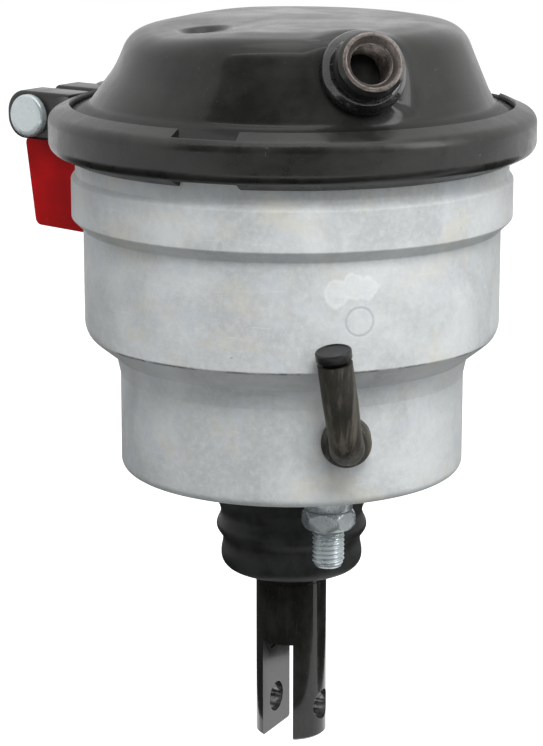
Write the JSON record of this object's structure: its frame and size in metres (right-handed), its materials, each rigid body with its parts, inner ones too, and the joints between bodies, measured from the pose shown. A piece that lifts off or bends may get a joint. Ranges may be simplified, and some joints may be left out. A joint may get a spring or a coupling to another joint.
{
  "type": "air brake chamber",
  "caption": "Diaphragm air brake chamber with clamped pressure cover, cast housing, mounting studs, bellows and a fork-ended push rod that strokes out.",
  "frame": {"origin": "centre of the mounting face, on the push rod's axis", "axes": "+Z along the push rod's axis towards the pressure cover, -Z the way the rod strokes, -Y towards the air port and the vent, within about 20 degrees"},
  "size_m": [0.2048, 0.1915, 0.2841],
  "materials": {
    "black_paint": "gloss black paint over pressed or machined steel",
    "ring_paint": "worn satin black paint",
    "port_metal": "black paint with a bare machined face",
    "cast_aluminium": "as cast, blasted, light grey",
    "zinc": "bright zinc plate with a faint blue cast",
    "red_plastic": "moulded red plastic",
    "vent_rubber": "aged dark rubber",
    "guide_plastic": "filled black plastic",
    "bronze": "sintered bronze",
    "rubber": "black moulded rubber",
    "plain_steel": "plain steel, lightly oiled",
    "spring_steel": "black coated spring wire"
  },
  "bodies": {
    "chamber": {"pressure_cover": "black_paint", "air_port": "port_metal", "port_weld": "black_paint", "housing": "cast_aluminium", "clamp_ring": "ring_paint", "clamp_bolt": "zinc", "clamp_washer": "zinc", "clamp_nut": "zinc", "gap_guard": "red_plastic", "stud_plate": "zinc", "mounting_studs": "zinc", "stud_washers": "zinc", "stud_nuts": "zinc", "vent_elbow": "vent_rubber", "vent_cap": "vent_rubber", "vent_grommet": "vent_rubber", "rod_guide": "guide_plastic", "guide_bush": "bronze", "rod_wiper": "rubber", "return_spring": "spring_steel", "diaphragm": "rubber", "bellows": "rubber"},
    "push_rod": {"push_plate": "plain_steel", "push_rod": "plain_steel", "rod_collar": "plain_steel", "yoke": "black_paint"}
  },
  "joints": [
    {"name": "push_rod_stroke", "type": "slide", "parent": "chamber", "child": "push_rod", "axis": [0, 0, -1], "range_m": [0, 0.057], "stiffness_N_per_m": 4000, "springref_m": -0.05, "deforming": ["return_spring", "diaphragm", "bellows"]}
  ]
}
